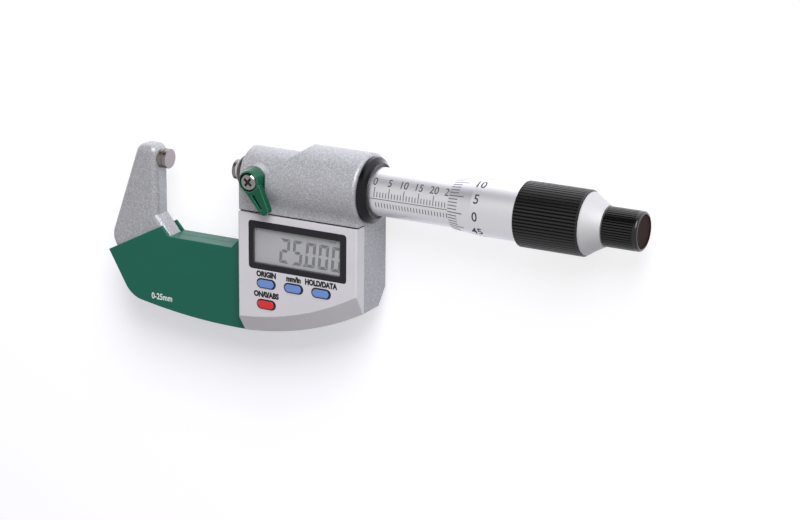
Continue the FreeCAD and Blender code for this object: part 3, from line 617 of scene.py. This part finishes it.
class Sheetwork:
    """Gathers meshes in millimetres and turns them into one piece."""

    def __init__(self, name: str, material: bpy.types.Material) -> None:
        """Start an empty piece.

        Args:
            name: The piece's name.
            material: Its finish.
        """
        self.name = name
        self.material = material
        self.work = bmesh.new()

    def take(self, mesh: bpy.types.Mesh, place: Move | None = None) -> None:
        """Add a mesh, moving each of its points by place.

        Args:
            mesh: Mesh in millimetres; it is removed afterwards.
            place: Function from a flat point to a point in space.
        """
        before = len(self.work.verts)
        self.work.from_mesh(mesh)
        self.work.verts.ensure_lookup_table()
        if place is not None:
            for vert in self.work.verts[before:]:
                vert.co = place(vert.co)
        bpy.data.meshes.remove(mesh)

    def polygon(self, outline: Outline, low: float, high: float) -> None:
        """Add a flat prism between two heights.

        Args:
            outline: Corners in X and Y, in order.
            low: Lower Z.
            high: Upper Z.
        """
        base = [self.work.verts.new((x, y, low)) for x, y in outline]
        top = [self.work.verts.new((x, y, high)) for x, y in outline]
        self.work.faces.new(base[::-1])
        self.work.faces.new(top)
        count = len(outline)
        for i in range(count):
            j = (i + 1) % count
            self.work.faces.new((base[i], base[j], top[j], top[i]))

    def ring(self, loops: list[list[Point]]) -> None:
        """Add a closed ring.

        Args:
            loops: A loop of points for each corner of the ring's section, in order.
        """
        rows = [[self.work.verts.new(point) for point in loop] for loop in loops]
        count = len(rows[0])
        for first, second in zip(rows, rows[1:] + rows[:1]):
            for i in range(count):
                j = (i + 1) % count
                self.work.faces.new((first[i], first[j], second[j], second[i]))

    def piece(self, body: str) -> bpy.types.Object:
        """Finish the piece, with all faces turned outwards, and let it ride on a body.

        Args:
            body: Name of the CAD body.

        Returns:
            The new object.
        """
        for vert in self.work.verts:
            vert.co *= MM
        bmesh.ops.recalc_face_normals(self.work, faces=self.work.faces[:])
        mesh = bpy.data.meshes.new(self.name)
        self.work.to_mesh(mesh)
        self.work.free()
        mesh.materials.clear()
        mesh.materials.append(self.material)
        for face in mesh.polygons:
            face.material_index = 0
        item = bpy.data.objects.new(self.name, mesh)
        bpy.context.scene.collection.objects.link(item)
        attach(item, body)
        log.info("made %s with %d faces", self.name, len(mesh.polygons))
        return item


@dataclass(frozen=True)
class Lettering:
    """A style of print, with its sizes in millimetres.

    The weight widens the strokes, as a share of the font's size. Slices are cuts across Y,
    so that a word can bend round a barrel. A capital's height is that of the built-in font
    at size 1, where points nearer than the weld are merged.
    """

    height: float
    squeeze: float = 1.0
    weight: float = 0.0
    slice_mm: float = 0.0
    capital: float = 0.69
    weld: float = 1e-5

    def draw(self, text: str) -> bpy.types.Mesh:
        """Make a word or number, centred on its own middle.

        Args:
            text: What it says.

        Returns:
            A mesh, flat in X and Y and half the ink's thickness to each side of Z 0.
        """
        curve = bpy.data.curves.new("letters", "FONT")
        curve.body = text
        curve.align_x = "CENTER"
        curve.align_y = "CENTER"
        curve.resolution_u = 4
        curve.offset = self.weight
        curve.size = 1.0
        curve.extrude = 0.5
        holder = bpy.data.objects.new("letters", curve)
        bpy.context.scene.collection.objects.link(holder)
        ready = holder.evaluated_get(bpy.context.evaluated_depsgraph_get())
        mesh = bpy.data.meshes.new_from_object(ready)
        bpy.data.objects.remove(holder)
        work = bmesh.new()
        work.from_mesh(mesh)
        bmesh.ops.remove_doubles(work, verts=work.verts[:], dist=self.weld)
        across, upright = ([vert.co[axis] for vert in work.verts] for axis in (0, 1))
        middle_x = (min(across) + max(across)) / 2
        middle_y = (min(upright) + max(upright)) / 2
        for vert in work.verts:
            x = (vert.co.x - middle_x) / self.capital * self.height * self.squeeze
            y = (vert.co.y - middle_y) / self.capital * self.height
            vert.co = Vector((x, y, vert.co.z * INK_THICK))
        if self.slice_mm > 0:
            for i in range(int(2 * self.height / self.slice_mm) + 1):
                everything = work.verts[:] + work.edges[:] + work.faces[:]
                cut = (0, i * self.slice_mm - self.height, 0)
                bmesh.ops.bisect_plane(work, geom=everything, plane_co=cut, plane_no=(0, 1, 0))
        work.to_mesh(mesh)
        work.free()
        return mesh


@dataclass
class ScaleMarks:
    """The 0 to 25 mm scale on the sleeve and the 50-part scale on the thimble.

    Places along the barrel are in X. Places round it are arcs, from the side that faces +Z.
    """

    zero_x: float = 78.2
    edge_x: float = 103.2
    bevel_x: float = 111.0
    sleeve_radius: float = 7.48
    lip_radius: float = 7.8
    thimble_radius: float = 8.65
    span: int = 25
    divisions: int = 50
    group: int = 5
    datum_x: float = 75.9
    datum_hidden: float = 1.0
    datum_wide: float = 0.2
    datum_arc: float = -0.25
    line_wide: float = 0.24
    short_line: float = 1.6
    long_line: float = 3.0
    gap_above: float = 0.55
    gap_below: float = 1.15
    number_shift: float = -0.3
    number_arc: float = 5.1
    number_style: Lettering = Lettering(2.4, 0.88, 0.002, 0.35)
    bevel_gap: float = 0.06
    bevel_arc: float = -0.55
    bevel_line_wide: float = 0.26
    bevel_short: float = 3.1
    bevel_long: float = 5.0
    thimble_number_x: float = 112.6
    thimble_number_arc: float = -0.8
    thimble_number_style: Lettering = Lettering(2.9, 0.88, 0.012, 0.4)
    marks: MarkTree = field(default_factory=MarkTree)
    sleeve: Barrel = field(init=False)
    bevel: Barrel = field(init=False)
    thimble: Barrel = field(init=False)

    def __post_init__(self) -> None:
        """Set up the surfaces."""
        self.sleeve = Barrel(self.sleeve_radius, self.sleeve_radius)
        self.bevel = Barrel(self.lip_radius, self.thimble_radius, self.edge_x, self.bevel_x)
        self.thimble = Barrel(self.thimble_radius, self.thimble_radius)

    def build(self) -> None:
        """Make the four pieces."""
        self._sleeve_lines()
        self._sleeve_numbers()
        self._thimble_lines()
        self._thimble_numbers()

    def _sleeve_lines(self) -> None:
        """Draw the datum line, the millimetre lines and the half-millimetre lines."""
        ink = SCALE_INK.build()
        work = Sheetwork("sleeve_lines", ink)
        length = self.edge_x + self.datum_hidden - self.datum_x
        middle = (self.datum_x + length / 2, self.datum_arc, 0)
        size = (length, self.datum_wide, INK_THICK)
        work.take(self.marks.row(self.sleeve, 1, middle, (1, 0, 0), size, ink))
        groups = self.span // self.group
        step = (self.group, 0, 0)
        short = (self.line_wide, self.short_line, INK_THICK)
        long = (self.line_wide, self.long_line, INK_THICK)
        above = self.datum_arc + self.gap_above
        for offset in range(1, self.group):
            first = (self.zero_x + offset, above + self.short_line / 2, 0)
            work.take(self.marks.row(self.sleeve, groups, first, step, short, ink))
        first = (self.zero_x, above + self.long_line / 2, 0)
        work.take(self.marks.row(self.sleeve, groups + 1, first, step, long, ink))
        below = (self.zero_x + 0.5, self.datum_arc - self.gap_below - self.short_line / 2, 0)
        work.take(self.marks.row(self.sleeve, self.span, below, (1, 0, 0), short, ink))
        work.piece("base")

    def _sleeve_numbers(self) -> None:
        """Put the numbers 0 to 25 above the long lines."""
        work = Sheetwork("sleeve_numbers", NUMBER_INK.build())
        for number in range(0, self.span + 1, self.group):
            x = self.zero_x + number + self.number_shift
            work.take(self.number_style.draw(str(number)), self.sleeve.place(x, self.number_arc))
        work.piece("base")

    def _thimble_lines(self) -> None:
        """Draw the 50 lines on the bevel, each fifth one longer."""
        ink = SCALE_INK.build()
        work = Sheetwork("thimble_lines", ink)
        pitch = 2 * math.pi * self.lip_radius / self.divisions
        count = self.divisions // self.group
        step = (0, self.group * pitch, 0)
        start = self.edge_x + self.bevel_gap
        for offset in range(self.group):
            length = self.bevel_short if offset else self.bevel_long
            first = (start + length / 2, self.bevel_arc + offset * pitch, 0)
            size = (length, self.bevel_line_wide, INK_THICK)
            work.take(self.marks.row(self.bevel, count, first, step, size, ink))
        work.piece("thimble_group")

    def _thimble_numbers(self) -> None:
        """Put the numbers 0 to 45 behind the long lines."""
        work = Sheetwork("thimble_numbers", NUMBER_INK.build())
        turn = 2 * math.pi * self.thimble_radius
        for number in range(0, self.divisions, self.group):
            arc = turn * number / self.divisions + self.thimble_number_arc
            place = self.thimble.place(self.thimble_number_x, arc)
            work.take(self.thimble_number_style.draw(str(number)), place)
        work.piece("thimble_group")


class Bar(Enum):
    """The seven bars of a display figure."""

    TOP = "a"
    UPPER_RIGHT = "b"
    LOWER_RIGHT = "c"
    BOTTOM = "d"
    LOWER_LEFT = "e"
    UPPER_LEFT = "f"
    MIDDLE = "g"


BARS_OF = {
    "0": "abcdef",
    "2": "abged",
    "5": "afgcd",
}


@dataclass
class DisplayFigures:
    """The reading 25.000 on the display glass, with its small unit mark."""

    reading: str = "25.000"
    left: float = 45.3
    pitch: float = 4.62
    wide: float = 3.5
    tall: float = 8.0
    middle_y: float = -21.5
    bar: float = 1.0
    gap: float = 0.14
    slant: float = 0.09
    point: float = 0.6
    surface_z: float = 7.8
    unit: str = "mm"
    unit_x: float = 64.1
    unit_y: float = -16.25
    unit_style: Lettering = Lettering(1.1)

    def _bar(self, which: Bar) -> Outline:
        """Give a bar of an upright figure whose lower left corner is at 0, 0.

        Args:
            which: The bar.

        Returns:
            Its corners, in order.
        """
        w, h, b, g = self.wide, self.tall, self.bar, self.gap
        half = h / 2
        if which in (Bar.TOP, Bar.BOTTOM):
            y, side = (h, -1) if which is Bar.TOP else (0, 1)
            return [(g, y), (w - g, y), (w - g - b, y + side * b), (g + b, y + side * b)]
        if which is Bar.MIDDLE:
            k = b / 2
            above = [(g + k, half), (g + b, half + k), (w - g - b, half + k)]
            return above + [(w - g - k, half), (w - g - b, half - k), (g + b, half - k)]
        x, side = (w, -1) if which in (Bar.UPPER_RIGHT, Bar.LOWER_RIGHT) else (0, 1)
        upper = which in (Bar.UPPER_RIGHT, Bar.UPPER_LEFT)
        outer, inner, up = (h - g, half + g, 1) if upper else (g, half - g, -1)
        inside = x + side * b
        return [(x, outer), (inside, outer - up * b), (inside, inner + up * b / 2), (x, inner)]

    def build(self) -> None:
        """Make the figures as thin plates on the glass."""
        work = Sheetwork("display_figures", SEGMENT.build())
        low, high = self.surface_z, self.surface_z + INK_THICK
        base_y = self.middle_y - self.tall / 2
        square = ((0, 0), (self.point, 0), (self.point, self.point), (0, self.point))
        x = self.left
        for sign in self.reading:
            if sign == ".":
                spot = x - (self.pitch - self.wide + self.point) / 2
                work.polygon([(spot + px, base_y + py) for px, py in square], low, high)
                continue
            for letter in BARS_OF[sign]:
                outline = [
                    (x + px + self.slant * (py - self.tall / 2), base_y + py)
                    for px, py in self._bar(Bar(letter))
                ]
                work.polygon(outline, low, high)
            x += self.pitch
        work.take(self.unit_style.draw(self.unit), shift(self.unit_x, self.unit_y, (low + high) / 2))
        work.piece("base")


@dataclass(frozen=True)
class Key:
    """Where a key sits, and the word over it."""

    x: float
    y: float
    word: str
    word_up: float = 3.0
    squeeze: float = 0.86


KEYS = (
    Key(41.2, -32.7, "ORIGIN"),
    Key(51.07, -32.7, "mm/in"),
    Key(60.94, -32.7, "HOLD/DATA", squeeze=0.82),
    Key(41.2, -39.5, "ON/0/ABS", word_up=3.2),
)
HOUSING_FRONT = 9.3


@dataclass
class KeyLegends:
    """The small black words over the keys."""

    height: float = 1.65
    weight: float = 0.07

    def build(self) -> None:
        """Make all the words as one piece."""
        work = Sheetwork("key_legends", INK_AND_SHADE.build())
        for key in KEYS:
            style = Lettering(self.height, key.squeeze, self.weight)
            work.take(style.draw(key.word), shift(key.x, key.y + key.word_up, HOUSING_FRONT))
        work.piece("base")


@dataclass
class KeySkirts:
    """Painted shade round each key: a black ring filling the gap, with a thin painted shadow lip on the
    housing. The eye reads it as the key's dark outline."""

    key_wide: float = 6.3
    key_high: float = 2.55
    near: float = 0.04
    far: float = 0.24
    lip: float = 0.36
    low: float = 8.9
    lip_high: float = 0.03
    steps: int = 12

    def build(self) -> None:
        """Make the four rings of painted shade as one piece."""
        work = Sheetwork("key_shade_rings", INK_AND_SHADE.build())
        top = HOUSING_FRONT + self.lip_high
        section = (
            (self.far, self.low),
            (self.far, HOUSING_FRONT),
            (self.lip, HOUSING_FRONT),
            (self.lip, top),
            (self.near, top),
            (self.near, self.low),
        )
        for key in KEYS:
            work.ring([self._outline(key, out, z) for out, z in section])
        work.piece("base")

    def _outline(self, key: Key, out: float, z: float) -> list[Point]:
        """Give a key's outline, moved outwards.

        Args:
            key: The key.
            out: Distance outwards in mm.
            z: Height in mm.

        Returns:
            Points, counter-clockwise.
        """
        radius = self.key_high / 2 + out
        reach = (self.key_wide - self.key_high) / 2
        points = []
        for centre, start in ((reach, -math.pi / 2), (-reach, math.pi / 2)):
            for i in range(self.steps + 1):
                angle = start + math.pi * i / self.steps
                x = key.x + centre + radius * math.cos(angle)
                points.append((x, key.y + radius * math.sin(angle), z))
        return points


@dataclass
class ScrewRecess:
    """Painted shade: a black sheet on the floor of the lock screw's cross recess."""

    x: float = 37.7
    y: float = 0.7
    turn: float = -38.0
    reach: float = 1.57
    half: float = 0.39
    low: float = 13.7
    high: float = 13.75

    def build(self) -> None:
        """Make the cross as one piece, arm by arm."""
        arm = ((self.reach, -self.half), (self.reach, self.half), (self.half, self.half))
        outline = []
        for quarter in range(4):
            angle = math.radians(self.turn + 90 * quarter)
            c, s = math.cos(angle), math.sin(angle)
            outline += [(self.x + x * c - y * s, self.y + x * s + y * c) for x, y in arm]
        # Painted shade: a black sheet where the deep recess is dark.
        work = Sheetwork("screw_recess_shade", INK_AND_SHADE.build())
        work.polygon(outline, self.low, self.high)
        work.piece("lock_group")


@dataclass
class RangeMark:
    """The plain range on the front cover."""

    text: str = "0-25mm"
    x: float = -0.9
    y: float = -45.1
    front_z: float = 4.8
    style: Lettering = Lettering(1.95, 0.84, 0.02)

    def build(self) -> None:
        """Make the range as white print."""
        work = Sheetwork("range_mark", WHITE_INK.build())
        work.take(self.style.draw(self.text), shift(self.x, self.y, self.front_z))
        work.piece("base")


# Studio


@dataclass
class Studio:
    """Camera, floor, world and one soft lamp.

    The camera's angles are in degrees and its eye in millimetres, and a focal length in
    pixels goes with the picture's width in pixels. Floor and lamp are in metres, apart from
    the floor's height.
    """

    yaw: float = 28.07
    pitch: float = 17.03
    roll: float = 0.66
    focal_px: float = 2450.0
    frame_px: float = 800.0
    sensor: float = 36.0
    eye: Point = (420.56, 198.62, 632.21)
    clip: tuple[float, float] = (0.01, 10.0)
    floor_z: float = -11.4
    floor_half: float = 3.0
    paper_colour: str = "F0F0F4"
    shade_colour: str = "EFEDF6"
    glow: float = 0.37
    wash: float = 0.6
    wash_x: tuple[float, float] = (0.045, 0.1)
    wash_y: tuple[float, float] = (-0.055, -0.015)
    pool_y: float = 0.02
    pool_reach: float = 0.075
    pool_near: float = 1.0
    pool_far: float = 0.1
    surround: float = 0.36
    mirrored: float = 0.74
    mirrored_dip: float = 0.73
    band_z: float = 0.37
    band_half: tuple[float, float] = (0.05, 0.42)
    band_y: tuple[float, float] = (0.3, 0.7)
    lamp_place: Point = (0.4, 0.75, 0.56)
    lamp_aim: Point = (0.07, -0.02, 0.0)
    lamp_size: tuple[float, float] = (0.5, 0.7)
    lamp_watts: float = 10.0

    def camera(self) -> None:
        """Place the camera at the photograph's viewing angle."""
        a, e, r = (math.radians(v) for v in (self.yaw, self.pitch, self.roll))
        back = Vector((math.sin(a) * math.cos(e), math.sin(e), math.cos(a) * math.cos(e)))
        right = Vector((math.cos(a), 0, -math.sin(a)))
        up = Vector((-math.sin(a) * math.sin(e), math.cos(e), -math.cos(a) * math.sin(e)))
        turned_right = math.cos(r) * right + math.sin(r) * up
        turned_up = -math.sin(r) * right + math.cos(r) * up
        data = bpy.data.cameras.new("camera")
        data.sensor_width = self.sensor
        data.sensor_fit = "HORIZONTAL"
        data.lens = self.focal_px / self.frame_px * self.sensor
        data.clip_start, data.clip_end = self.clip
        item = bpy.data.objects.new("camera", data)
        bpy.context.scene.collection.objects.link(item)
        basis = Matrix((turned_right, turned_up, back)).transposed()
        item.matrix_world = Matrix.Translation(Vector(self.eye) * MM) @ basis.to_4x4()
        bpy.context.scene.camera = item

    def floor(self) -> None:
        """Lay the pale floor that the object rests on."""
        half = self.floor_half
        mesh = bpy.data.meshes.new("floor")
        square = [(-half, -half), (half, -half), (half, half), (-half, half)]
        mesh.from_pydata([(x, y, self.floor_z * MM) for x, y in square], [], [(0, 1, 2, 3)])
        item = bpy.data.objects.new("floor", mesh)
        bpy.context.scene.collection.objects.link(item)
        mesh.materials.append(self._paper())

    def _paper(self) -> bpy.types.Material:
        """Make the floor's paper.

        It is plain where it lights the object. The camera sees it lifted by a little glow
        and washed white away from the bow, and shiny parts mirror a pool of light in it.

        Returns:
            The floor's material.
        """
        material = bpy.data.materials.new("paper_floor")
        material.use_nodes = True
        tree = material.node_tree
        tree.nodes.clear()
        seen = add(tree, "ShaderNodeLightPath").outputs
        camera, glossy = seen["Is Camera Ray"], seen["Is Glossy Ray"]
        paper = add(tree, "ShaderNodeBsdfDiffuse", {"Color": linear(self.paper_colour)}).outputs[0]
        shade = add(tree, "ShaderNodeBsdfDiffuse", {"Color": linear(self.shade_colour)}).outputs[0]
        plain = add(tree, "ShaderNodeMath", {0: camera, 1: self.glow}, operation="MULTIPLY").outputs[0]
        levels = {0: glossy, 1: self._pool(tree), 2: plain}
        bright = add(tree, "ShaderNodeMath", levels, operation="MULTIPLY_ADD").outputs[0]
        glow = add(tree, "ShaderNodeEmission", {"Color": linear("FFFFFF"), "Strength": bright}).outputs[0]
        lifted = add(tree, "ShaderNodeAddShader", {0: shade, 1: glow}).outputs[0]
        direct = add(tree, "ShaderNodeMath", {0: camera, 1: glossy}, operation="MAXIMUM").outputs[0]
        rays = {0: direct, 1: seen["Is Transmission Ray"]}
        through = add(tree, "ShaderNodeMath", rays, operation="MAXIMUM").outputs[0]
        chosen = add(tree, "ShaderNodeMixShader", {0: through, 1: paper, 2: lifted}).outputs[0]
        sight = {0: self._wash(tree), 1: camera}
        washed = add(tree, "ShaderNodeMath", sight, operation="MULTIPLY").outputs[0]
        white = add(tree, "ShaderNodeEmission", {"Color": linear("FFFFFF")}).outputs[0]
        last = add(tree, "ShaderNodeMixShader", {0: washed, 1: chosen, 2: white}).outputs[0]
        add(tree, "ShaderNodeOutputMaterial", {"Surface": last})
        return material

    def _wash(self, tree: Tree) -> Socket:
        """Wash the shadow out, apart from the stretch below the bow where it stays full.

        Args:
            tree: The floor's nodes.

        Returns:
            The share of white.
        """
        at = add(tree, "ShaderNodeTexCoord").outputs["Object"]
        place = add(tree, "ShaderNodeSeparateXYZ", {"Vector": at}).outputs
        sides = []
        for axis, (low, high) in (("X", self.wash_x), ("Y", self.wash_y)):
            reach = {"Value": place[axis], "From Min": low, "From Max": high, "To Max": self.wash}
            side = add(tree, "ShaderNodeMapRange", reach, interpolation_type="SMOOTHSTEP")
            sides.append(side.outputs["Result"])
        return add(tree, "ShaderNodeMath", {0: sides[0], 1: sides[1]}, operation="MAXIMUM").outputs["Value"]

    def _pool(self, tree: Tree) -> Socket:
        """Give the floor's glow in reflections: a pool of light round the object.

        Args:
            tree: The floor's nodes.

        Returns:
            The strength of the glow.
        """
        at = add(tree, "ShaderNodeTexCoord").outputs["Object"]
        y = add(tree, "ShaderNodeSeparateXYZ", {"Vector": at}).outputs["Y"]
        away = add(tree, "ShaderNodeMath", {0: y, 1: self.pool_y}, operation="SUBTRACT").outputs[0]
        distance = add(tree, "ShaderNodeMath", {0: away}, operation="ABSOLUTE").outputs[0]
        fade = {
            "Value": distance,
            "From Max": self.pool_reach,
            "To Min": self.pool_near,
            "To Max": self.pool_far,
        }
        return add(tree, "ShaderNodeMapRange", fade, interpolation_type="SMOOTHSTEP").outputs["Result"]

    def lamp(self) -> None:
        """Hang a soft area lamp, its width level and its height towards +Y."""
        data = bpy.data.lights.new("key_softbox", "AREA")
        data.shape = "RECTANGLE"
        data.size, data.size_y = self.lamp_size
        data.energy = self.lamp_watts
        item = bpy.data.objects.new("key_softbox", data)
        bpy.context.scene.collection.objects.link(item)
        place = Vector(self.lamp_place)
        back = (place - Vector(self.lamp_aim)).normalized()
        side = Vector((0, 1, 0)).cross(back).normalized()
        basis = Matrix((side, back.cross(side), back)).transposed()
        item.matrix_world = Matrix.Translation(place) @ basis.to_4x4()

    def world(self) -> None:
        """Set a white surround. Shiny parts mirror it as a bright tent with one darker band."""
        world = bpy.data.worlds.new("surround")
        bpy.context.scene.world = world
        world.use_nodes = True
        tree = world.node_tree
        tree.nodes.clear()
        seen = add(tree, "ShaderNodeLightPath").outputs
        ray = add(tree, "ShaderNodeTexCoord").outputs["Generated"]
        way = add(tree, "ShaderNodeSeparateXYZ", {"Vector": ray}).outputs
        height = add(tree, "ShaderNodeMath", {0: way["Z"], 1: self.band_z}, operation="SUBTRACT").outputs[0]
        distance = add(tree, "ShaderNodeMath", {0: height}, operation="ABSOLUTE").outputs[0]
        low, high = self.band_half
        span = {"Value": distance, "From Min": low, "From Max": high, "To Min": 1.0, "To Max": 0.0}
        band = add(tree, "ShaderNodeMapRange", span, interpolation_type="SMOOTHSTEP").outputs["Result"]
        low, high = self.band_y
        span = {"Value": way["Y"], "From Min": low, "From Max": high, "To Max": self.mirrored_dip}
        behind = add(tree, "ShaderNodeMapRange", span).outputs["Result"]
        dip = add(tree, "ShaderNodeMath", {0: band, 1: behind}, operation="MULTIPLY").outputs[0]
        tent = add(tree, "ShaderNodeMath", {0: self.mirrored, 1: dip}, operation="SUBTRACT").outputs[0]
        span = {"Value": seen["Is Glossy Ray"], "To Min": self.surround, "To Max": tent}
        level = add(tree, "ShaderNodeMapRange", span).outputs["Result"]
        shown = {0: level, 1: seen["Is Camera Ray"]}
        strength = add(tree, "ShaderNodeMath", shown, operation="MAXIMUM").outputs[0]
        light = add(tree, "ShaderNodeBackground", {"Color": linear("FFFFFF"), "Strength": strength})
        add(tree, "ShaderNodeOutputWorld", {"Surface": light.outputs[0]})

    def build(self) -> None:
        """Set up everything round the object."""
        self.camera()
        self.floor()
        self.world()
        self.lamp()
        bpy.context.scene.view_settings.view_transform = "Standard"


def main() -> None:
    """Dress the frame, add the print and set up the studio."""
    logging.basicConfig(level=logging.INFO, format="%(name)s: %(message)s")
    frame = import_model()
    dress(frame["nodes"])
    ScaleMarks().build()
    DisplayFigures().build()
    KeyLegends().build()
    KeySkirts().build()
    ScrewRecess().build()
    RangeMark().build()
    Studio().build()


if __name__ == "__main__":
    main()
